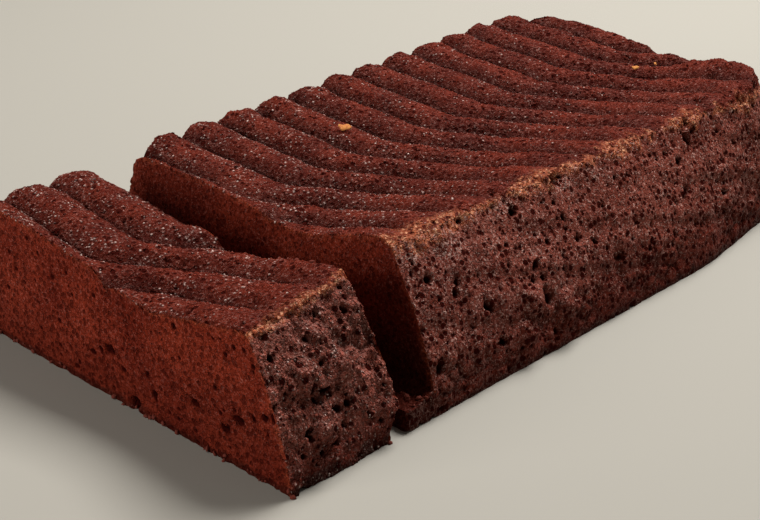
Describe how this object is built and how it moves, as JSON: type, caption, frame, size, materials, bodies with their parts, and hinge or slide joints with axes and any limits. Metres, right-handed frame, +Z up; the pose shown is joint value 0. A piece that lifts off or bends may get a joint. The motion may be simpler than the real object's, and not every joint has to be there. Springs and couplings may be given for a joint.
{
  "type": "chocolate cake",
  "caption": "Low chocolate loaf cake with swept ribs across a dished top, rounded far end, and a thick slice cut off the near end and standing in line.",
  "frame": {"origin": "middle of the bounding box of loaf and slice together, on the surface they stand on", "axes": "+X along the length from the slice towards the far end of the loaf, +Y across the width from the leaning long side to the steep one, +Z up"},
  "size_m": [0.296, 0.1546, 0.0511],
  "materials": {
    "loaf": "moist dark chocolate crumb with a fine open pore, satin crust on top",
    "slice": "moist dark chocolate crumb with a fine open pore, smooth knife-cut faces"
  },
  "bodies": {
    "root": {"loaf": "loaf", "slice": "slice"}
  },
  "joints": []
}
